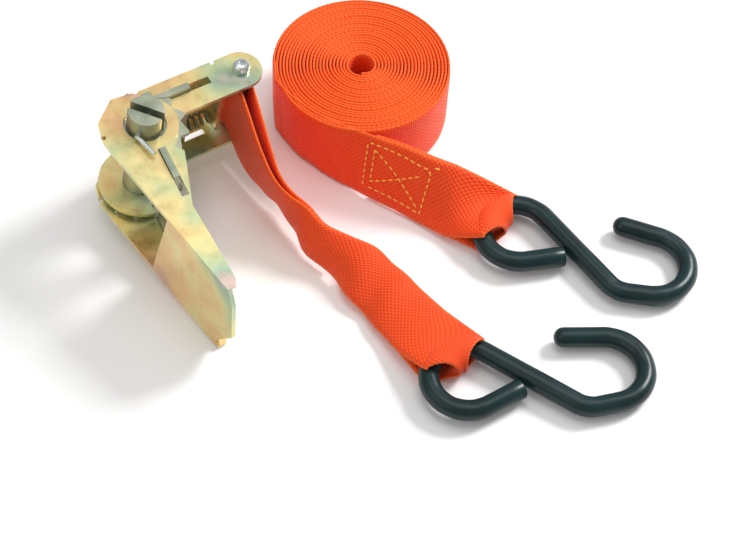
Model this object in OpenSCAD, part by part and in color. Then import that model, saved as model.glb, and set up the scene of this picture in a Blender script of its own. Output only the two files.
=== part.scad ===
// Ratchet strap set: a slotted-spool ratchet with a short strap, a long coiled strap and two S-hooks.
// Millimetres. +Z is up, the floor is Z = 0.

/* [Webbing] */
// Width of both straps
strap_width = 25; // [24:0.5:26]
// Thickness of one layer of webbing
strap_thick = 1.3; // [1.1:0.1:1.4]
// Outer radius of the rolled-up strap
coil_radius = 31.3; // [30:0.1:31.5]

/* [Ratchet] */
// Sheet metal thickness of the frame
frame_gauge = 1.4; // [1.2:0.1:1.4]
// Sheet metal thickness of the handle
handle_gauge = 1.5; // [1.3:0.1:1.5]
// Radius of the slotted spool
spool_radius = 6; // [5.8:0.1:6]
// Slot between the spool's two bars
spool_slot = 2.6; // [2.4:0.1:3]
// Radial running clearance of the spool in its holes
running_gap = 0.08; // [0.03:0.01:0.1]
// Number of ratchet teeth
tooth_count = 12; // [12:1:12]
// Tip radius of the ratchet wheels
tooth_tip = 14.2; // [14:0.1:14.2]
// Root radius of the ratchet wheels
tooth_root = 11.8; // [11.6:0.1:11.8]
// Lean of the ratchet as it lies on the floor
ratchet_lean = 7.8; // [7.8:0.1:7.8]

/* [Hooks] */
// Bare wire diameter of the S-hooks
wire_diameter = 5.6; // [5:0.1:5.8]
// Thickness of the vinyl coating
coating_thick = 0.6; // [0.4:0.1:0.6]

/* [Hidden] */
$fn = 64;

// Where the parts stand in the row frame
shift = [-5.92, -22.96, 0];

// Ratchet pose
axle_centre = [-79, 22.5, 26.1];
lean_axis = [0.5, 0.866, 0];
handle_angle = -47;
frame_angle = 37;

// Heights along the axle, from its middle
frame_out = 15;
frame_in = frame_out - frame_gauge;
wheel_in = 15.15;
wheel_out = 16.75;
handle_in = 16.9;
handle_out = handle_in + handle_gauge;
spool_half = 25.5;

// Frame arm, in the frame's own directions
arm_width = 14.4;
pin_at = [40.6, 7.2];
pin_r = 1.9;
frame_ring = 10.5;
frame_shield = 14;
lock_line = 8.2;
lock_slot = [11.1, 29.1];
lock_slot_width = 2.8;
pawl_thick = 2.4;

// Handle
handle_ring = 10.8;
handle_hole = 7;
handle_back = -15.3;
handle_end = 64.5;
drive_angle = -12.6;
drive_line = 1.12;
drive_slot = [10.6, 29.9];
drive_slot_width = 2.6;
drive_thick = 2.2;

// Coil and long strap
coil_at = [-9.5, 71.5];
coil_hole = 3.5;

// Hooks
core_r = wire_diameter / 2;
coat_r = core_r + coating_thick;
loop_gap = 0.3;
long_hook_at = [63, 12.2];
long_hook_turn = -3.2;
short_hook_at = [48.5, -41.2];
short_hook_turn = 17.8;
hook_lift = 5.02;
hook_tilt = 1.3;

module place() {
    translate(shift) children();
}

module on_ratchet() {
    place() translate(axle_centre) rotate(a = ratchet_lean, v = lean_axis) children();
}

module on_frame() {
    on_ratchet() rotate([0, 0, frame_angle]) children();
}

module on_handle() {
    on_ratchet() rotate([0, 0, handle_angle]) children();
}

module on_drive() {
    on_handle() rotate([0, 0, drive_angle]) translate([0, drive_line, 0]) children();
}

// A slab between two heights along the axle
module slab(low, high) {
    translate([0, 0, low]) linear_extrude(height = high - low) children();
}

module both_sides(low, high) {
    slab(low, high) children();
    slab(-high, -low) children();
}

// ---------------------------------------------------------------- ratchet frame

module frame_outline() {
    difference() {
        union() {
            circle(frame_ring);
            intersection() {
                circle(frame_shield);
                translate([-20, -20]) square([18, 40]);
            }
            polygon([[0, 0], [pin_at[0], 0], [pin_at[0], arm_width], [6, arm_width], [-4, 9.6]]);
            translate(pin_at) circle(arm_width / 2);
        }
        circle(spool_radius + running_gap);
        translate(pin_at) circle(pin_r + 0.05);
        translate([lock_slot[0], lock_line - lock_slot_width / 2])
            square([lock_slot[1] - lock_slot[0], lock_slot_width]);
        translate([32.6, arm_width - 1.2]) square([1.6, 3]);
    }
}

module frame() {
    color([0.86, 0.74, 0.36]) on_frame() {
        both_sides(frame_in, frame_out) frame_outline();
        translate([8, arm_width - frame_gauge, -frame_out]) cube([24.4, frame_gauge, 2 * frame_out]);
        translate([31, 4.2, -10]) cube([frame_gauge, arm_width - 4.2, 20]);
    }
}

// ---------------------------------------------------------------- handle

module handle_outline() {
    difference() {
        union() {
            circle(handle_ring);
            polygon([[-12.3, 3.3], [-13.7, -3.9], [-8.3, -12.4], [-3.3, -14.7], [-2.9, -13.4],
                     [-1.9, -13.4], [-1.5, handle_back], [handle_end, handle_back],
                     [handle_end, -12.1], [62.2, -10.6], [33.6, -5.8], [20.4, 1.6],
                     [15.3, 4.4], [12, 2.6], [8, 6.8], [6, 8.8], [-4, 9.9]]);
        }
        circle(handle_hole);
        rotate([0, 0, drive_angle])
            translate([drive_slot[0], drive_line - drive_slot_width / 2])
                square([drive_slot[1] - drive_slot[0], drive_slot_width]);
    }
}

// The back of the handle, seen square on, with its oblique start and its lip
module handle_back_outline() {
    polygon([[28.3, -handle_out], [62, -handle_out], [64.5, -12.5], [69.7, -4], [67.6, 12],
             [64.6, handle_out], [33.4, handle_out]]);
}

module handle() {
    color([0.88, 0.76, 0.4]) on_handle() {
        both_sides(handle_in, handle_out) handle_outline();
        translate([0, handle_back + handle_gauge, 0]) rotate([90, 0, 0])
            linear_extrude(height = handle_gauge) handle_back_outline();
        rotate([0, 0, drive_angle]) translate([36.3, -6.8, -9.5]) cube([handle_gauge, 10.6, 19]);
    }
}

// ---------------------------------------------------------------- spool

// One tooth: a steep face on the side that the lock pawl holds, a long slope behind it
function polar(r, a) = [r * cos(a), r * sin(a)];
tooth_phase = frame_angle + 44.6;
tooth_pitch = 360 / tooth_count;

module wheel() {
    difference() {
        polygon([for (i = [0 : tooth_count - 1], k = [0 : 2])
            let (a = tooth_phase + i * tooth_pitch)
            k == 0 ? polar(tooth_root, a) : k == 1 ? polar(tooth_tip, a + 9.1) : polar(tooth_tip, a + 12)]);
        half_round(0.02);
        rotate([0, 0, 180]) half_round(0.02);
    }
}

// Section of one half-round bar
slot_angle = -14;
module half_round(grow) {
    rotate([0, 0, slot_angle]) intersection() {
        circle(spool_radius + grow);
        translate([-10, spool_slot / 2 - grow]) square([20, 10]);
    }
}

cotter_at = 20.3;
cotter_r = 0.8;
module cotter_holes() {
    for (z = [-cotter_at, cotter_at])
        translate([0, 0, z]) rotate([0, 0, slot_angle + 90]) rotate([0, 90, 0])
            cylinder(r = cotter_r + 0.06, h = 30, center = true);
}

module axle_half() {
    difference() {
        slab(-spool_half, spool_half) half_round(0);
        cotter_holes();
    }
}

module axle_half_a() {
    color([0.6, 0.62, 0.5]) on_ratchet() axle_half();
}

module axle_half_b() {
    color([0.6, 0.62, 0.5]) on_ratchet() rotate([0, 0, 180]) axle_half();
}

module ratchet_wheel_upper() {
    color([0.7, 0.7, 0.6]) on_ratchet() slab(wheel_in, wheel_out) wheel();
}

module ratchet_wheel_lower() {
    color([0.7, 0.7, 0.6]) on_ratchet() slab(-wheel_out, -wheel_in) wheel();
}

// A wire pin through both bars, with one leg bent round beside the spool
module cotter_pins() {
    color([0.8, 0.8, 0.76]) on_ratchet() for (z = [-cotter_at, cotter_at])
        translate([0, 0, z]) rotate([0, 0, slot_angle + 90]) {
            translate([-7.6, 0, 0]) rotate([0, 90, 0]) cylinder(r = cotter_r, h = 15.4, $fn = 24);
            translate([-7.1, 0, 0]) rotate([0, 0, -119]) rotate([0, 90, 0])
                cylinder(r = cotter_r - 0.03, h = 8.5, $fn = 24);
        }
}

// ---------------------------------------------------------------- pawls

module lock_pawl() {
    low = lock_line - pawl_thick / 2;
    high = lock_line + pawl_thick / 2;
    color([0.62, 0.64, 0.55]) on_frame() {
        both_sides(wheel_in - 0.05, wheel_out)
            polygon([[8.6, high], [8.6, 8.45], [11.8, low], [21, low], [21, high]]);
        slab(-wheel_in, wheel_in) translate([11.3, low]) square([9.7, pawl_thick]);
    }
}

module drive_pawl() {
    low = -drive_thick / 2;
    color([0.62, 0.64, 0.55]) on_drive() {
        both_sides(handle_in - 0.05, handle_out + 0.9) translate([10.9, low]) square([12, drive_thick]);
        slab(-handle_in, handle_in) translate([14.6, low]) square([8.3, drive_thick]);
    }
}

// A coil spring drawn as a wound wire: rings that follow a helix
module spring_wire(r, wire, length, turns) {
    steps = turns * 12;
    tube([for (i = [0 : steps]) let (a = 360 * turns * i / steps)
        [[length * i / steps, r * cos(a), r * sin(a)], wire]], 6, [1, 0.02, 0]);
}

module drive_pawl_spring() {
    color([0.75, 0.75, 0.72]) on_drive() for (z = [-6, 6])
        translate([23.4, 0, z]) spring_wire(2.4, 0.4, 12.4, 6);
}

module lock_pawl_spring() {
    color([0.75, 0.75, 0.72]) on_frame() for (z = [-6, 6])
        translate([21.5, lock_line, z]) spring_wire(2.2, 0.4, 9, 4);
}

// ---------------------------------------------------------------- strap pin

module strap_pin() {
    color([0.82, 0.84, 0.84]) on_frame() translate([pin_at[0], pin_at[1], -17.6])
        cylinder(r = pin_r, h = 35.2);
}

module pin_sleeve() {
    color([0.7, 0.7, 0.66]) on_frame() translate([pin_at[0], pin_at[1], -13.3]) difference() {
        cylinder(r = 3.4, h = 26.6);
        translate([0, 0, -1]) cylinder(r = pin_r + 0.07, h = 29);
    }
}

module pin_caps() {
    color([0.85, 0.87, 0.88]) on_frame() for (s = [0, 1])
        translate([pin_at[0], pin_at[1], 0]) mirror([0, 0, s]) translate([0, 0, frame_out + 0.05])
            difference() {
                rotate_extrude() polygon([[0, 0], [2.9, 0], [2.9, 1.5], [2.6, 2.4], [1.9, 3], [0, 3.3]]);
                translate([0, 0, -1]) cylinder(r = pin_r + 0.02, h = 3.62);
                translate([0, 0, 2.9]) cylinder(r = 0.9, h = 2, $fn = 24);
            }
}

// ---------------------------------------------------------------- sweeps

function unit(v) = v / norm(v);
function along(points, i) =
    unit(points[min(i + 1, len(points) - 1)] - points[max(i - 1, 0)]);

// Round wire along a route: each station is [middle point, radius]
module tube(route, sides, side_way) {
    n = len(route);
    mids = [for (s = route) s[0]];
    rings = [for (i = [0 : n - 1], k = [0 : sides - 1])
        let (t = along(mids, i), u = unit(cross(t, side_way)), v = cross(t, u), a = 360 * k / sides)
        mids[i] + route[i][1] * (cos(a) * u + sin(a) * v)];
    walls = [for (i = [0 : n - 2], k = [0 : sides - 1], h = [0, 1])
        let (a = i * sides + k, b = i * sides + (k + 1) % sides)
        h == 0 ? [b, a, a + sides] : [b + sides, b, a + sides]];
    ends = [[for (k = [0 : sides - 1]) k], [for (k = [0 : sides - 1]) n * sides - 1 - k]];
    polyhedron(points = rings, faces = concat(walls, ends), convexity = 10);
}

// Webbing along a route: each station is [middle point, direction of the width, width, thickness]
module ribbon(route) {
    n = len(route);
    mids = [for (s = route) s[0]];
    rings = [for (i = [0 : n - 1], k = [0 : 3])
        let (t = along(mids, i), w = unit(route[i][1]), m = unit(cross(t, w)),
             a = (k == 0 || k == 3) ? -1 : 1, b = k < 2 ? -1 : 1)
        mids[i] + a * route[i][2] / 2 * w + b * route[i][3] / 2 * m];
    walls = [for (i = [0 : n - 2], k = [0 : 3], h = [0, 1])
        let (a = i * 4 + k, b = i * 4 + (k + 1) % 4)
        h == 0 ? [a, a + 4, b] : [b, a + 4, b + 4]];
    ends = [[0, 1, 2], [0, 2, 3], [n * 4 - 4, n * 4 - 2, n * 4 - 3], [n * 4 - 4, n * 4 - 1, n * 4 - 2]];
    polyhedron(points = rings, faces = concat(walls, ends), convexity = 10);
}

// Smooth stations between the listed ones
function smooth(a, b, c, d, t) =
    0.5 * (2 * b + (c - a) * t + (2 * a - 5 * b + 4 * c - d) * t * t + (3 * b - a - 3 * c + d) * t * t * t);
function at(list, i) = list[min(max(i, 0), len(list) - 1)];
function route_of(stations, cuts) = [for (i = [0 : len(stations) - 2], j = [0 : cuts - 1])
    [for (k = [0 : 3]) smooth(at(stations, i - 1)[k], stations[i][k], stations[i + 1][k],
                              at(stations, i + 2)[k], j / cuts)],
    stations[len(stations) - 1]];

// ---------------------------------------------------------------- hooks

// Middle line of the hook's wire in the XY plane, from the open tip round to the end of the eye
function arc(centre, radius, from, to, cuts) = [for (i = [0 : cuts])
    let (a = from + (to - from) * i / cuts) [centre[0] + radius * cos(a), centre[1] + radius * sin(a), 0]];

eye_at = [-16.5, 5];
eye_r = 12;
hook_line = concat([[19, 13.5, 0], [25, 12.25, 0]],
                   arc([28.8, -1.4], 12.6, 76.5, -90, 14),
                   [[25, -14, 0]],
                   arc([21.6, -5], 9, -90, -137, 4),
                   [[8, -3.63, 0], [0, 4.93, 0]],
                   arc(eye_at, eye_r, 43, 288, 22),
                   [[-6, -4.2, 0], [-0.6, -2.45, 0]]);

module hook_wire(r, sides) {
    first = unit(hook_line[0] - hook_line[1]);
    last_i = len(hook_line) - 1;
    last = unit(hook_line[last_i] - hook_line[last_i - 1]);
    dome = [for (a = [78, 52, 26]) [hook_line[0] + r * sin(a) * first, r * cos(a)]];
    body = [for (p = hook_line) [p, r]];
    stub = [[hook_line[last_i] + 0.4 * last, r * 0.86]];
    tube(concat(dome, body, stub), sides, [0, 0, 1]);
}

module on_long_hook() {
    place() translate([long_hook_at[0], long_hook_at[1], hook_lift]) rotate([0, 0, long_hook_turn])
        translate([eye_at[0] - 8, 0, 0]) rotate([0, hook_tilt, 0]) translate([8 - eye_at[0], 0, 0]) children();
}

module on_short_hook() {
    place() translate([short_hook_at[0], short_hook_at[1], hook_lift]) rotate([0, 0, short_hook_turn])
        translate([eye_at[0] - 8, 0, 0]) rotate([0, hook_tilt, 0]) translate([8 - eye_at[0], 0, 0]) children();
}

module coating() {
    difference() {
        hook_wire(coat_r, 16);
        hook_wire(core_r, 16);
    }
}

module long_hook_core() {
    color([0.5, 0.5, 0.5]) on_long_hook() hook_wire(core_r - 0.02, 16);
}

module long_hook_coating() {
    color([0.08, 0.2, 0.2]) on_long_hook() coating();
}

module short_hook_core() {
    color([0.5, 0.5, 0.5]) on_short_hook() hook_wire(core_r - 0.02, 16);
}

module short_hook_coating() {
    color([0.08, 0.2, 0.2]) on_short_hook() coating();
}

// The gathered webbing around a hook's eye wire, from one angle of the eye to another
module eye_loop(from, to) {
    inner = coat_r + loop_gap;
    translate([eye_at[0], eye_at[1], 0]) rotate([0, 0, from])
        rotate_extrude(angle = to - from, $fn = 96) translate([eye_r, 0]) difference() {
            circle(r = inner + strap_thick, $fn = 48);
            circle(r = inner, $fn = 48);
        }
}

// ---------------------------------------------------------------- straps

w = strap_width;
t1 = strap_thick;

// Tail of the long strap, from the roll to the hook's loop: two layers from the stitching on
tail_stations = [
    [[-41.2, 71, 12.5], [0, 0, 1], w, t1],
    [[-39.4, 63, 12.5], [0, 0.02, 1], w, t1],
    [[-32.5, 54, 12.5], [0, 0.05, 1], w, t1],
    [[-20, 44, 12.6], [0, 0.15, 1], w, t1],
    [[-6.5, 37.5, 12.6], [0.02, 0.26, 0.97], w, 1.6],
    [[5, 33, 12.5], [0.05, 0.36, 0.93], w, 2.9],
    [[17, 27.6, 11.6], [0.05, 0.5, 0.86], w, 2.9],
    [[25, 24, 10.4], [0.1, 0.68, 0.72], 24, 3.4],
    [[30.7, 20.6, 6.6], [0.15, 0.93, 0.3], 20, 5]];

short_stations = [
    [[-48.7, 49, 24.8], [0.12, -0.07, 0.99], w, 2.9],
    [[-46.8, 45.9, 24], [0.14, -0.1, 0.985], w, 2.9],
    [[-45, 41.8, 21.6], [0.24, -0.18, 0.95], w, 2.9],
    [[-40.9, 31.8, 17.2], [0.28, -0.42, 0.86], w, 2.9],
    [[-36.2, 24.7, 14.5], [0.21, -0.47, 0.86], 23, 3.2],
    [[-30.9, 19.1, 12.8], [0.21, -0.46, 0.86], 22, 3.6],
    [[-25.6, 13.9, 10.8], [0.3, -0.23, 0.93], 18, 4],
    [[-20.6, 8, 9], [0.45, -0.05, 0.88], 17, 4],
    [[-14, 4, 8.2], [0.62, 0.2, 0.75], 17, 4],
    [[-5, -2.2, 7], [0.72, 0.5, 0.48], 18, 4],
    [[2.6, -10.4, 5.8], [0.74, 0.6, 0.3], 19, 4],
    [[10, -18.4, 5.6], [0.72, 0.64, 0.26], 20, 4],
    [[15.5, -25, 5.8], [0.72, 0.66, 0.2], 20, 4.4],
    [[19.9, -29.6, 5.4], [0.74, 0.67, 0.05], 20, 5.4]];

module long_strap() {
    color([0.95, 0.3, 0.1]) {
        place() translate([coil_at[0], coil_at[1], 0]) difference() {
            cylinder(r = coil_radius, h = strap_width, $fn = 128);
            translate([0, 0, -1]) cylinder(r = coil_hole, h = strap_width + 2, $fn = 48);
        }
        place() ribbon(route_of(tail_stations, 3));
        on_long_hook() eye_loop(108, 203);
    }
}

module short_strap() {
    color([0.95, 0.3, 0.1]) {
        place() ribbon(route_of(short_stations, 3));
        on_short_hook() eye_loop(62, 155);
        on_frame() translate([pin_at[0], pin_at[1], -w / 2]) difference() {
            cylinder(r = 3.7 + t1, h = w);
            translate([0, 0, -1]) cylinder(r = 3.7, h = w + 2);
        }
    }
}

// Stitching: thin raised bars on the outer face of the doubled webbing
module long_strap_stitching() {
    color([0.98, 0.65, 0.1]) place() translate([6.3, 30.5, 11.8]) rotate([0, 0, -21.5])
        rotate([69, 0, 0]) stitch_box(21, 16);
}

// A sewn box with a cross, as thread 0.5 mm proud
module stitch_box(long, wide) {
    thread = 0.7;
    diagonal = sqrt(long * long + wide * wide);
    translate([0, 0, 0.25]) {
        for (y = [-wide / 2, wide / 2]) translate([0, y, 0]) cube([long, thread, 0.5], center = true);
        for (x = [-long / 2, long / 2]) translate([x, 0, 0]) cube([thread, wide, 0.5], center = true);
        for (s = [-1, 1]) rotate([0, 0, s * atan(wide / long)])
            cube([diagonal, thread, 0.5], center = true);
    }
}

frame();
handle();
ratchet_wheel_upper();
ratchet_wheel_lower();
axle_half_a();
axle_half_b();
cotter_pins();
drive_pawl();
drive_pawl_spring();
lock_pawl();
lock_pawl_spring();
strap_pin();
pin_sleeve();
pin_caps();
short_strap();
long_strap();
long_strap_stitching();
long_hook_core();
long_hook_coating();
short_hook_core();
short_hook_coating();
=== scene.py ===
"""Ratchet strap set: woven straps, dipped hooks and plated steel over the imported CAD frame."""
import math
import bpy
import numpy as np
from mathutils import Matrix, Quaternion, Vector


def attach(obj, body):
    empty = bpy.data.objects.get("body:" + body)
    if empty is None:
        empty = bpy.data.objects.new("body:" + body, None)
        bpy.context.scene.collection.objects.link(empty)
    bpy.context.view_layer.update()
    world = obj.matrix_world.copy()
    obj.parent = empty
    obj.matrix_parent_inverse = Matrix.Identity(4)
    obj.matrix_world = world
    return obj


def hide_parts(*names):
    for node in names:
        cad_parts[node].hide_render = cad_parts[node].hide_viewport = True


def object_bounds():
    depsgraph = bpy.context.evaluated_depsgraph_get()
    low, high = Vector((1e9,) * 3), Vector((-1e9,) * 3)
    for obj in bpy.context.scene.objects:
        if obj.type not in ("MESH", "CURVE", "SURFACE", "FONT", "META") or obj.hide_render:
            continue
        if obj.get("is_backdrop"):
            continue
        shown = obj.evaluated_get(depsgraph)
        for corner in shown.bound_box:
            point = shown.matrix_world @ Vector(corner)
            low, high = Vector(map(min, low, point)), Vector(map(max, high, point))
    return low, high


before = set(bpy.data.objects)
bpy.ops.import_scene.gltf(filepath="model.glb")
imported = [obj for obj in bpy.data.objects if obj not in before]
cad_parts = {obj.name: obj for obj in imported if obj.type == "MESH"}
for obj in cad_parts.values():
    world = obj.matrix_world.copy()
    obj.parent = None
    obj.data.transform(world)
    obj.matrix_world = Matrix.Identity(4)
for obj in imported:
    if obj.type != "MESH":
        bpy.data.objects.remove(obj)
lo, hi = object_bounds()
MM = 0.001
SHIFT = np.array([-5.92, -22.96, 0.0])


# ------------------------------------------------------------------ camera, floor and light

def aim(obj, place, target):
    """Puts obj at place, looking at target; both in millimetres."""
    obj.location = Vector(place) * MM
    way = (Vector(target) - Vector(place)).normalized()
    obj.rotation_mode = "QUATERNION"
    obj.rotation_quaternion = way.to_track_quat("-Z", "Y")


cam_data = bpy.data.cameras.new("camera")
cam = bpy.data.objects.new("camera", cam_data)
bpy.context.scene.collection.objects.link(cam)
bpy.context.scene.camera = cam
cam_data.lens = 86.4
cam_data.sensor_width = 36
cam_data.clip_start = 0.02
cam_data.clip_end = 20
elevation = math.radians(54)
target = Vector(SHIFT)
back = Vector((0, -math.cos(elevation), math.sin(elevation)))
aim(cam, target + back * 600, target)
cam.rotation_quaternion = cam.rotation_quaternion @ Quaternion((0, 0, 1), math.radians(4))

floor_mesh = bpy.data.meshes.new("floor")
floor_mesh.from_pydata([(-4, -4, 0), (4, -4, 0), (4, 4, 0), (-4, 4, 0)], [], [(0, 1, 2, 3)])
floor = bpy.data.objects.new("floor", floor_mesh)
bpy.context.scene.collection.objects.link(floor)
floor.location.z = min(lo.z, 0) - 0.0002
floor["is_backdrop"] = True

world = bpy.data.worlds.new("world")
bpy.context.scene.world = world
world.use_nodes = True
world.node_tree.nodes["Background"].inputs[0].default_value = (1, 1, 1, 1)
world.node_tree.nodes["Background"].inputs[1].default_value = 0.5


def soft_light(name, place, size_m, watts, colour=(1, 1, 1)):
    data = bpy.data.lights.new(name, "AREA")
    data.shape = "RECTANGLE"
    data.size = size_m[0]
    data.size_y = size_m[1]
    data.energy = watts
    data.color = colour
    obj = bpy.data.objects.new(name, data)
    bpy.context.scene.collection.objects.link(obj)
    aim(obj, place, (0, 0, 10))


soft_light("key", (620, 420, 700), (0.3, 0.3), 9.5)
soft_light("fill", (-700, -500, 700), (0.8, 0.8), 1.6)
soft_light("top", (0, 100, 1100), (0.7, 0.7), 3)
bpy.context.scene.view_settings.view_transform = "Standard"


# ------------------------------------------------------------------ materials

class Shade:
    """A small helper round one node material."""

    def __init__(self, name):
        self.mat = bpy.data.materials.new(name)
        self.mat.use_nodes = True
        self.tree = self.mat.node_tree
        self.bsdf = self.tree.nodes["Principled BSDF"]

    def node(self, kind, **values):
        made = self.tree.nodes.new(kind)
        for key, value in values.items():
            setattr(made, key, value)
        return made

    def link(self, a, b):
        self.tree.links.new(a, b)

    def feed(self, socket, value):
        if isinstance(value, (int, float)):
            socket.default_value = value
        else:
            self.link(value, socket)

    def math(self, operation, a, b=0.0, clamp=False):
        made = self.node("ShaderNodeMath", operation=operation, use_clamp=clamp)
        self.feed(made.inputs[0], a)
        self.feed(made.inputs[1], b)
        return made.outputs[0]

    def mapped(self, scale):
        where = self.node("ShaderNodeTexCoord")
        made = self.node("ShaderNodeMapping")
        made.inputs["Scale"].default_value = scale
        self.link(where.outputs["Object"], made.inputs["Vector"])
        return made.outputs["Vector"]

    def noise(self, scale, detail=3.0, stretch=(1, 1, 1)):
        made = self.node("ShaderNodeTexNoise")
        made.inputs["Scale"].default_value = scale
        made.inputs["Detail"].default_value = detail
        self.link(self.mapped(stretch), made.inputs["Vector"])
        return made.outputs["Fac"]

    def ramp(self, fac, stops):
        made = self.node("ShaderNodeValToRGB")
        ramp = made.color_ramp
        while len(ramp.elements) < len(stops):
            ramp.elements.new(0.5)
        for element, (at, colour) in zip(ramp.elements, stops):
            element.position = at
            element.color = (*colour, 1)
        self.link(fac, made.inputs["Fac"])
        return made.outputs["Color"]

    def mix(self, fac, a, b, blend="MIX"):
        made = self.node("ShaderNodeMix", data_type="RGBA", blend_type=blend)
        self.feed(made.inputs["Factor"], fac)
        for socket, value in ((made.inputs["A"], a), (made.inputs["B"], b)):
            if isinstance(value, tuple):
                socket.default_value = (*value, 1)
            else:
                self.link(value, socket)
        return made.outputs["Result"]

    def spread(self, fac, low, high):
        made = self.node("ShaderNodeMapRange")
        self.link(fac, made.inputs["Value"])
        made.inputs["To Min"].default_value = low
        made.inputs["To Max"].default_value = high
        return made.outputs["Result"]

    def bump(self, height, strength, distance):
        made = self.node("ShaderNodeBump")
        made.inputs["Strength"].default_value = strength
        made.inputs["Distance"].default_value = distance
        self.link(height, made.inputs["Height"])
        self.link(made.outputs["Normal"], self.bsdf.inputs["Normal"])


def plated(name, stops, scale, rough, scratch=0.3):
    """Zinc-plated steel: drifting passivation colours, fine rolling lines and small marks."""
    s = Shade(name)
    drift = s.noise(scale, 2.0)
    colour = s.ramp(drift, stops)
    grain = s.noise(900, 2.0, (1, 0.06, 1))
    mottle = s.noise(260, 4.0)
    shade = s.mix(0.14, colour, s.ramp(mottle, [(0.3, (0.45, 0.42, 0.3)), (0.7, (1, 1, 0.95))]), "MULTIPLY")
    s.link(shade, s.bsdf.inputs["Base Color"])
    s.bsdf.inputs["Metallic"].default_value = 0.82
    s.link(s.spread(mottle, rough - 0.1, rough + 0.14), s.bsdf.inputs["Roughness"])
    s.bump(s.math("ADD", grain, s.math("MULTIPLY", mottle, 0.5)), scratch, 0.00006)
    return s.mat


# Weave: pitch of the yarns across the strap and along it, and of the fine ribs on them, in metres
YARN_ACROSS = 0.0018
YARN_ALONG = 0.0017
YARN_RIB = 0.00085
STRAP_WIDE = 25.0


def webbing(name):
    """Orange polyester webbing: a plain weave of fat yarns laid out on the strap's own width and length."""
    s = Shade(name)
    uv = s.node("ShaderNodeUVMap", uv_map="strap")
    parts = s.node("ShaderNodeSeparateXYZ")
    s.link(uv.outputs["UV"], parts.inputs[0])
    u, v = parts.outputs[0], parts.outputs[1]
    across = s.math("SINE", s.math("MULTIPLY", u, 2 * math.pi / YARN_ACROSS))
    down = s.math("SINE", s.math("MULTIPLY", v, 2 * math.pi / YARN_ALONG))
    checker = s.math("MULTIPLY", across, down)
    rib = s.math("COSINE", s.math("MULTIPLY", v, 2 * math.pi / YARN_RIB))
    height = s.math("ADD", s.math("MULTIPLY", checker, 0.5), s.math("MULTIPLY", rib, 0.25))
    fibre = s.noise(2600, 2.0)
    height = s.math("ADD", height, s.math("MULTIPLY", fibre, 0.25))
    # Painted shade: the colour is darker where the weave dips between the yarns and lighter on the raised
    # crossings, following the bump height
    yarn_shade_level = s.math("ADD", s.math("MULTIPLY", checker, 0.2), 0.5, True)
    colour = s.ramp(yarn_shade_level, [(0.12, (0.7, 0.032, 0.001)), (0.5, (0.9, 0.068, 0.002)),
                            (0.9, (0.97, 0.11, 0.004))])
    wide = s.noise(28, 2.0)
    colour = s.mix(0.35, colour, s.ramp(wide, [(0.35, (0.75, 0.6, 0.6)), (0.65, (1, 1, 1))]), "MULTIPLY")
    # Painted highlight: both edges of the strap are painted a lighter orange, where the rounded edges catch
    # the light
    share = s.math("DIVIDE", u, STRAP_WIDE * MM)
    edge_highlight = s.math("MULTIPLY", s.math("ABSOLUTE", s.math("SUBTRACT", share, 0.5)), 2)
    edge_highlight = s.math("MULTIPLY", s.math("GREATER_THAN", edge_highlight, 0.94), 0.55)
    colour = s.mix(edge_highlight, colour, (0.95, 0.14, 0.006))
    s.link(colour, s.bsdf.inputs["Base Color"])
    s.link(s.spread(fibre, 0.5, 0.75), s.bsdf.inputs["Roughness"])
    s.bsdf.inputs["Sheen Weight"].default_value = 0.12
    s.bsdf.inputs["Sheen Roughness"].default_value = 0.4
    s.bsdf.inputs["Specular IOR Level"].default_value = 0.35
    s.bump(height, 0.7, 0.0003)
    return s.mat


def vinyl(name):
    s = Shade(name)
    cloud = s.noise(90, 3.0)
    colour = s.ramp(cloud, [(0.3, (0.001, 0.012, 0.013)), (0.7, (0.003, 0.024, 0.026))])
    s.link(colour, s.bsdf.inputs["Base Color"])
    s.link(s.spread(cloud, 0.24, 0.42), s.bsdf.inputs["Roughness"])
    s.bsdf.inputs["Coat Weight"].default_value = 0.1
    s.bsdf.inputs["Specular IOR Level"].default_value = 0.3
    s.bsdf.inputs["Coat Roughness"].default_value = 0.15
    s.bump(s.noise(420, 3.0), 0.18, 0.0002)
    return s.mat


def thread_cloth(name):
    s = Shade(name)
    twist = s.noise(1800, 2.0)
    s.link(s.ramp(twist, [(0.3, (0.85, 0.3, 0.03)), (0.7, (1.0, 0.5, 0.09))]), s.bsdf.inputs["Base Color"])
    s.link(s.spread(twist, 0.45, 0.7), s.bsdf.inputs["Roughness"])
    s.bump(twist, 0.5, 0.0002)
    return s.mat


def floor_paper(name):
    s = Shade(name)
    s.bsdf.inputs["Base Color"].default_value = (0.93, 0.93, 0.93, 1)
    s.link(s.spread(s.noise(3, 2.0), 0.55, 0.65), s.bsdf.inputs["Roughness"])
    return s.mat


zinc_yellow = plated("yellow_zinc_plate",
                     [(0.3, (0.68, 0.42, 0.36)), (0.4, (0.86, 0.56, 0.26)), (0.5, (0.86, 0.73, 0.34)),
                      (0.58, (0.62, 0.68, 0.38)), (0.65, (0.4, 0.54, 0.4)), (0.73, (0.72, 0.5, 0.46))],
                     34, 0.28)
zinc_clear = plated("clear_zinc_plate",
                    [(0.3, (0.2, 0.25, 0.18)), (0.5, (0.4, 0.43, 0.33)), (0.7, (0.62, 0.58, 0.44))], 70, 0.34)
zinc_bright = plated("bright_zinc_plate",
                     [(0.3, (0.4, 0.45, 0.46)), (0.7, (0.7, 0.73, 0.72))], 80, 0.22)
steel_wire = plated("spring_steel_wire",
                    [(0.3, (0.2, 0.22, 0.2)), (0.7, (0.42, 0.42, 0.34))], 120, 0.3)
orange_webbing = webbing("orange_webbing")
green_vinyl = vinyl("green_vinyl")
yellow_thread = thread_cloth("yellow_thread")
floor_mesh.materials.append(floor_paper("floor_paper"))

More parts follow.
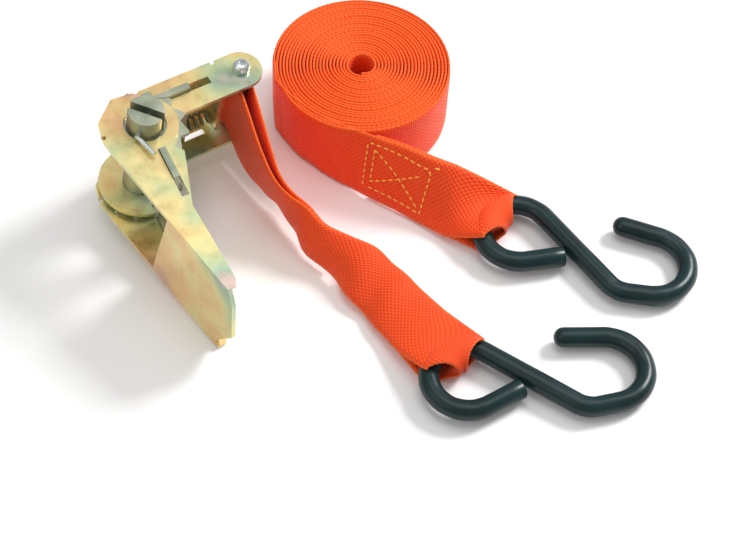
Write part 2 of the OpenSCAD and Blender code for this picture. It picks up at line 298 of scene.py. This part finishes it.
NODE_LOOKS = {
    "frame": zinc_yellow, "handle": zinc_yellow,
    "ratchet_wheel_upper": zinc_clear, "ratchet_wheel_lower": zinc_clear,
    "axle_half_a": zinc_clear, "axle_half_b": zinc_clear,
    "cotter_pins": zinc_bright,
    "drive_pawl": zinc_clear, "lock_pawl": zinc_clear,
    "drive_pawl_spring": steel_wire, "lock_pawl_spring": steel_wire,
    "strap_pin": zinc_bright, "pin_sleeve": zinc_clear, "pin_caps": zinc_bright,
    "long_hook_core": zinc_bright, "short_hook_core": zinc_bright,
    "long_hook_coating": green_vinyl, "short_hook_coating": green_vinyl,
}
for name, look in NODE_LOOKS.items():
    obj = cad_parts[name]
    obj.data.materials.clear()
    obj.data.materials.append(look)


# ------------------------------------------------------------------ straps

def cubic(a, b, c, d, t):
    squared = (2 * a - 5 * b + 4 * c - d) * t ** 2
    return 0.5 * (2 * b + (c - a) * t + squared + (3 * b - a - 3 * c + d) * t ** 3)


def smooth_rows(rows, cuts):
    """Rows of points along a strap, with smooth rows put between them."""
    made = []
    last = len(rows) - 1
    for i in range(last):
        a, b, c, d = rows[max(i - 1, 0)], rows[i], rows[i + 1], rows[min(i + 2, last)]
        for j in range(cuts):
            made.append(cubic(a, b, c, d, j / cuts))
    made.append(rows[last])
    return made


ACROSS = 13


def row(middle, way, width):
    """A straight row of points across a strap."""
    way = np.array(way, float)
    way = way / np.linalg.norm(way)
    side = np.linspace(-0.5, 0.5, ACROSS)[:, None]
    return np.array(middle, float)[None, :] + side * width * way[None, :]


def grid_normals(grid):
    along = np.gradient(grid, axis=0)
    over = np.gradient(grid, axis=1)
    n = np.cross(along, over)
    return n / np.maximum(np.linalg.norm(n, axis=2, keepdims=True), 1e-9)


def strip(name, rows, thick, body, node, look, taper=0.55):
    """Builds one closed strap from rows of points (millimetres, plan frame) along its middle surface."""
    grid = np.array(rows)
    normal = grid_normals(grid)
    steps = np.linalg.norm(np.diff(grid[:, ACROSS // 2], axis=0), axis=1)
    length = np.concatenate([[0], np.cumsum(steps)])
    edge = np.abs(np.linspace(-1, 1, ACROSS))
    half = thick / 2 * (1 - (1 - taper) * np.clip((edge - 0.86) / 0.14, 0, 1))
    top = grid + normal * half[None, :, None]
    low = grid - normal * half[None, :, None]
    ring = np.concatenate([top, low[:, ::-1]], axis=1)
    ring[:, :, 2] = np.maximum(ring[:, :, 2], 0.04)
    count, around = ring.shape[0], ring.shape[1]
    verts = (ring.reshape(-1, 3) + SHIFT) * MM
    faces = []
    for i in range(count - 1):
        for k in range(around):
            a = i * around + k
            b = i * around + (k + 1) % around
            faces.append((a, b, b + around, a + around))
    faces.append(tuple(range(around - 1, -1, -1)))
    faces.append(tuple((count - 1) * around + k for k in range(around)))
    mesh = bpy.data.meshes.new(name)
    mesh.from_pydata([tuple(v) for v in verts], [], faces)
    out_and_back = [np.linspace(0, STRAP_WIDE, ACROSS), np.linspace(STRAP_WIDE, 0, ACROSS)]
    width_at = np.concatenate(out_and_back) * MM
    layer = mesh.uv_layers.new(name="strap")
    for poly in mesh.polygons:
        for loop in poly.loop_indices:
            v = mesh.loops[loop].vertex_index
            layer.data[loop].uv = (width_at[v % around], length[v // around] * MM)
        poly.use_smooth = True
    mesh.materials.append(look)
    obj = bpy.data.objects.new(name, mesh)
    bpy.context.scene.collection.objects.link(obj)
    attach(obj, body)
    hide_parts(node)
    return obj, float(length[-1]) * MM


def wobble(rows, seed, size_mm, first, last):
    """Soft crumples: low waves along and across the strap between two fractions of its length."""
    rng = np.random.default_rng(seed)
    waves = [(rng.uniform(0.12, 0.5), rng.uniform(0.5, 2.2), rng.uniform(0, 6.28), rng.uniform(0.4, 1))
             for _ in range(7)]
    grid = np.array(rows)
    normal = grid_normals(grid)
    steps = np.linalg.norm(np.diff(grid[:, ACROSS // 2], axis=0), axis=1)
    s = np.concatenate([[0], np.cumsum(steps)])
    u = np.linspace(-1, 1, ACROSS)
    field = sum(w * np.sin(f * s[:, None] + p + g * u[None, :]) for f, g, p, w in waves) / 4
    t = s / s[-1]
    fade = np.clip((t - first) / 0.06, 0, 1) * np.clip((last - t) / 0.06, 0, 1)
    return list(grid + normal * (field * fade[:, None] * size_mm)[:, :, None])


def offset_rows(rows, by):
    """Rows moved along their normals by one distance, or by one distance a row."""
    grid = np.array(rows)
    by = np.broadcast_to(np.asarray(by, float), (len(grid),))
    return list(grid + grid_normals(grid) * by[:, None, None])


def cupped(rows, depth):
    """Rows bent up into a shallow trough across the strap, one depth a row."""
    side = np.linspace(-1, 1, ACROSS)
    grid = np.array(rows)
    lift = np.asarray(depth, float)[:, None] * (1 - side[None, :] ** 2)
    return list(grid + grid_normals(grid) * lift[:, :, None])


# Hook: centre and radius of its eye in the hook's own plan, radius of the dipped wire,
# height of its middle line, and how far the hook is tipped
EYE = np.array([-16.5, 5.0])
EYE_R = 12.0
WIRE_R = 3.4
WIRE_Z = 5.02
HOOK_TILT = 1.3
# Places round the eye's wire that a fold of webbing passes, in degrees from the wire's outer side
ROUND_THE_WIRE = (62, 84, 106, 130, 156, 180, 206, 232, 258, 282)
# Where each hook lies: its origin in the plan and its turn
LONG_HOOK = ((63, 12.2), -3.2)
SHORT_HOOK = ((48.5, -41.2), 17.8)


def eye_centre(at, turn):
    a = math.radians(turn)
    return np.array([at[0] + EYE[0] * math.cos(a) - EYE[1] * math.sin(a),
                     at[1] + EYE[0] * math.sin(a) + EYE[1] * math.cos(a)])


def eye_row(centre, middle_deg, half_deg, tilt_deg, slack=2.6, flip=1):
    """A row of points along the round eye wire, tilt_deg round the wire from its outer side; slack is how
    loosely the fold stands off the wire inside the eye."""
    inside = math.sin(math.radians(min(max((tilt_deg - 62) / 220 * 180, 0), 180))) ** 2
    rho = WIRE_R + 0.95 + slack * inside * (0.5 if tilt_deg > 200 else 1)
    out = EYE_R + rho * math.cos(math.radians(tilt_deg))
    z = max(WIRE_Z + rho * math.sin(math.radians(tilt_deg)), 0.62)
    squeeze = min(1.0, 0.55 + 0.45 * out / EYE_R)
    angles = np.radians(middle_deg + flip * np.linspace(-half_deg, half_deg, ACROSS) * squeeze)
    ways = np.stack([np.cos(angles), np.sin(angles)], axis=1)
    return np.column_stack([centre + out * ways, np.full(ACROSS, z)])


def coil_rows():
    """The roll: an even spiral from the small hole in the middle to the outside."""
    middle = np.array([-9.5, 71.5])
    pitch = 1.16
    start_r, end_r = 4.3, 30.7
    turns = (end_r - start_r) / pitch
    end_angle = 178.0
    per_turn = 60
    count = int(turns * per_turn)
    rows = []
    for i in range(count + 1):
        left = (count - i) / per_turn
        r = end_r - pitch * left
        a = math.radians(end_angle - 360 * left)
        rise = 0.22 * math.sin(2.3 * left) + 0.12 * math.sin(7.1 * left + 1)
        wave = 0.10 * math.sin(3 * a + 0.7 * left)
        x = middle[0] + (r + wave) * math.cos(a)
        y = middle[1] + (r + wave) * math.sin(a)
        rows.append(row((x, y, 12.62 + rise * 0.5), (0, 0, 1), 24.4))
    return rows


# Stations of the long strap's tail: middle, direction of the width, width
TAIL = [
    ((-39.6, 63, 12.6), (0, 0.02, 1), 25),
    ((-32.5, 54, 12.6), (0, 0.05, 1), 25),
    ((-20, 44, 12.6), (0, 0.15, 1), 25),
    ((-6.5, 37.5, 12.6), (0.02, 0.26, 0.97), 25),
    ((5, 33, 12.4), (0.05, 0.36, 0.93), 25),
    ((15, 28.6, 11.6), (0.05, 0.46, 0.88), 25),
    ((24, 25.4, 10.6), (0.1, 0.68, 0.72), 24.5),
]


# Half the distance between two layers that lie on each other
LAYER = 0.62
TAIL_ROWS = smooth_rows([row(*station) for station in TAIL], 8)


def build_long_strap():
    centre = eye_centre(*LONG_HOOK)
    doubled = np.clip((np.arange(len(TAIL_ROWS)) - 22) / 6, 0, 1)
    front = offset_rows(TAIL_ROWS, doubled * LAYER)
    # the end comes back behind the tail as far as the stitched box
    back = offset_rows(TAIL_ROWS, -LAYER)[26:]
    ready = [eye_row(centre, 152, 54, t, 3.6, flip=-1) for t in ROUND_THE_WIRE]
    turn = [front[-9], front[-1]] + ready + [back[-1], back[-9]]
    turn = smooth_rows(turn, 6)[6:-6]
    whole = coil_rows() + front[2:-1] + turn + back[:-1][::-1]
    return strip("long_strap_webbing", whole, 1.06, "long_strap", "long_strap", orange_webbing)


# Stations of the short strap from the ratchet to its hook: middle, direction of the width, width
SHORT = [
    ((-49.6, 52.6, 24.2), (0.2, -0.08, 0.97), 25),
    ((-46.5, 45.5, 21.4), (0.24, -0.2, 0.94), 25),
    ((-40.9, 32.5, 17), (0.28, -0.42, 0.86), 25),
    ((-36.2, 24.7, 14.7), (0.21, -0.47, 0.86), 23),
    ((-30.9, 19.1, 12.8), (0.21, -0.46, 0.86), 21),
    ((-25.6, 13.9, 10.8), (0.3, -0.23, 0.93), 17),
    ((-20.6, 8, 8.8), (0.45, -0.05, 0.88), 15.5),
    ((-14, 4, 7.6), (0.62, 0.2, 0.75), 15.5),
    ((-5, -2.2, 6.2), (0.72, 0.5, 0.48), 17),
    ((2.6, -10.4, 5.2), (0.74, 0.6, 0.3), 18.5),
    ((10, -18.4, 5), (0.72, 0.64, 0.26), 19.5),
    ((15.8, -25.2, 6), (0.72, 0.66, 0.2), 20.5),
]
# The ratchet leans on the floor: its axle's direction, and the middle of the strap pin
LEAN_BY = math.radians(7.8)
LEAN = np.array([math.sin(LEAN_BY) * 0.866, -math.sin(LEAN_BY) * 0.5, math.cos(LEAN_BY)])
PIN = np.array([-51.0, 52.7, 24.8])
PIN_LOOP_R = 4.45


def pin_row(turn_deg):
    """A row along the strap pin, turn_deg round it in the plan."""
    a = math.radians(turn_deg)
    middle = PIN + PIN_LOOP_R * np.array([math.cos(a), math.sin(a), 0])
    return row(middle, LEAN, STRAP_WIDE)


def build_short_strap():
    centre = eye_centre(*SHORT_HOOK)
    base = smooth_rows([row(*s) for s in SHORT], 8)
    place = np.arange(len(base)) / 8
    # deepest trough about half way, where the cloth is gathered
    base = cupped(base, np.interp(place, [0, 3, 5, 6.5, 8, 9.5, 11], [0, 0.6, 2.2, 3.2, 3, 1.8, 1.2]))
    base = wobble(base, 4, 1.5, 0.3, 0.93)
    # the front layer stands off the back one near the pin
    bulge = np.interp(place, [0, 0.6, 1.6, 2.8, 4.5, 11], [3.6, 3.8, 3.2, 1.8, 0.66, 0.66])
    front = offset_rows(base, bulge)
    back = offset_rows(base, -0.66)
    ready = [eye_row(centre, 126, 54, t, 5, flip=-1) for t in ROUND_THE_WIRE]
    hook_turn = smooth_rows([front[-9], front[-1]] + ready + [back[-1], back[-9]], 6)[6:-6]
    pins = [pin_row(t) for t in (2, 40, 80, 120, 160, 195)]
    pin_turn = smooth_rows([back[12], back[4]] + pins + [front[4], front[12]], 6)[6:-6]
    # one end lies under the other on the way to the hook; between them the strap goes round the pin
    whole = back[4:60][::-1][:-1] + pin_turn + front[5:-1] + hook_turn + back[62:-1][::-1]
    return strip("short_strap_webbing", whole, 1.05, "ratchet_frame", "short_strap", orange_webbing)


def tubes_mesh(name, paths, sides, look, body, nodes):
    """One mesh of round tubes; each path is a list of (middle, radius) in millimetres of the plan frame."""
    verts, faces = [], []
    for path in paths:
        mids = np.array([m for m, r in path], float)
        along = np.gradient(mids, axis=0)
        along /= np.linalg.norm(along, axis=1, keepdims=True)
        start = len(verts)
        side = np.cross(along[0], (0.03, 0.05, 1.0))
        for i, (_, radius) in enumerate(path):
            side = side - along[i] * float(side @ along[i])
            side = side / np.linalg.norm(side)
            other = np.cross(along[i], side)
            for k in range(sides):
                a = 2 * math.pi * k / sides
                point = mids[i] + radius * (math.cos(a) * side + math.sin(a) * other)
                verts.append(tuple((point + SHIFT) * MM))
        for i in range(len(path) - 1):
            for k in range(sides):
                a = start + i * sides + k
                b = start + i * sides + (k + 1) % sides
                faces.append((a, b, b + sides, a + sides))
        faces.append(tuple(start + sides - 1 - k for k in range(sides)))
        faces.append(tuple(start + (len(path) - 1) * sides + k for k in range(sides)))
    mesh = bpy.data.meshes.new(name)
    mesh.from_pydata(verts, [], faces)
    for poly in mesh.polygons:
        poly.use_smooth = True
    mesh.materials.append(look)
    obj = bpy.data.objects.new(name, mesh)
    bpy.context.scene.collection.objects.link(obj)
    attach(obj, body)
    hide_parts(*nodes)


# ------------------------------------------------------------------ hooks

def arc(centre, radius, first, last, count):
    angles = np.radians(np.linspace(first, last, count))
    return [(centre[0] + radius * math.cos(a), centre[1] + radius * math.sin(a)) for a in angles]


HOOK_LINE = ([(19, 13.5), (22, 12.88), (25, 12.25), (28.5, 11.5)] + arc((28.8, -1.4), 12.6, 76.5, -90, 40)
             + [(25.2, -14)] + arc((21.6, -5), 9, -90, -137, 12)
             + [(11, -6.86), (7, -2.56), (3, 1.72), (-1, 6), (-4.5, 9.74)]
             + arc(EYE, EYE_R, 43, 288, 60) + [(-9, -5.2), (-5, -3.87), (-0.7, -2.48)])


def build_hook(name, at, turn, body, node, seed):
    """A dipped S-hook: the wire's line, a round tip, and the coating's slight unevenness."""
    rng = np.random.default_rng(seed)
    phase = rng.uniform(0, 6.28, 3)
    tilt = math.radians(HOOK_TILT)
    tilt_at = EYE[0] - 8
    spin = math.radians(turn)
    flat = [np.array(p, float) for p in HOOK_LINE]
    path = []
    first = flat[0] - flat[1]
    first = first / np.linalg.norm(first)
    ends = [(flat[0] + first * 3.4 * math.sin(a), math.cos(a)) for a in (1.5, 1.2, 0.9, 0.6, 0.3)]
    last = flat[-1] - flat[-2]
    last = last / np.linalg.norm(last)
    tail = [(flat[-1] + last * 0.5 * math.sin(a), 0.8 + 0.2 * math.cos(a)) for a in (0.8, 1.5)]
    points = ends + [(p, 1.0) for p in flat] + tail
    for i, (p, share) in enumerate(points):
        x = p[0] - tilt_at
        z = -math.sin(tilt) * x
        x = math.cos(tilt) * x + tilt_at
        u = at[0] + x * math.cos(spin) - p[1] * math.sin(spin)
        v = at[1] + x * math.sin(spin) + p[1] * math.cos(spin)
        swell = 0.05 * math.sin(0.31 * i + phase[0]) + 0.03 * math.sin(0.83 * i + phase[1])
        path.append(((u, v, WIRE_Z + z), (WIRE_R + swell - 0.02) * share))
    tubes_mesh(name, [path], 32, green_vinyl, body, [node])


build_hook("long_hook_vinyl", *LONG_HOOK, "long_hook", "long_hook_coating", 3)
build_hook("short_hook_vinyl", *SHORT_HOOK, "short_hook", "short_hook_coating", 8)


# ------------------------------------------------------------------ stitching on the long strap

def on_tail(place, side):
    """A point on the front of the doubled tail: place counts rows, side runs from -1 to 1."""
    grid = np.array(offset_rows(TAIL_ROWS, LAYER + 0.6))
    i = int(np.clip(place, 0, len(grid) - 2))
    j = (side + 1) / 2 * (ACROSS - 1)
    k = int(np.clip(j, 0, ACROSS - 2))
    a = grid[i] * (1 - (place - i)) + grid[i + 1] * (place - i)
    return a[k] * (1 - (j - k)) + a[k + 1] * (j - k)


# Radius of one stitch from end to end
THREAD_R = (0.16, 0.3, 0.34, 0.3, 0.16)


def sewn(corners, pitch=2.5, gap=0.8):
    """Single stitches along a line given as (row, side) corners on the tail."""
    line = []
    for (a, b), (c, d) in zip(corners[:-1], corners[1:]):
        for t in np.linspace(0, 1, 24, endpoint=False):
            line.append(on_tail(a + (c - a) * t, b + (d - b) * t))
    line.append(on_tail(*corners[-1]))
    line = np.array(line)
    s = np.concatenate([[0], np.cumsum(np.linalg.norm(np.diff(line, axis=0), axis=1))])
    made = []
    at = 0.0
    while at + pitch - gap < s[-1]:
        spots = np.linspace(at, at + pitch - gap, 5)
        made.append([(np.array([np.interp(q, s, line[:, n]) for n in range(3)]), r)
                     for q, r in zip(spots, THREAD_R)])
        at += pitch
    return made


stitches = sewn([(24.5, -0.62), (24.8, 0.7), (25.6, 0.8), (40.2, 0.62),
                 (40.9, 0.5), (39.5, -0.72), (24.5, -0.62)])
stitches += sewn([(26.4, 0.62), (26.1, -0.42), (33, -0.02), (39.4, 0.42)])
stitches += sewn([(26.4, 0.62), (33, -0.02), (38.4, -0.58)])
stitches += sewn([(41.6, 0.72), (44.4, 0.76)])
tubes_mesh("long_strap_thread", stitches, 8, yellow_thread, "long_strap", ["long_strap_stitching"])


# ------------------------------------------------------------------ build the straps

long_webbing, long_length = build_long_strap()
short_webbing, short_length = build_short_strap()

lo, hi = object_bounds()
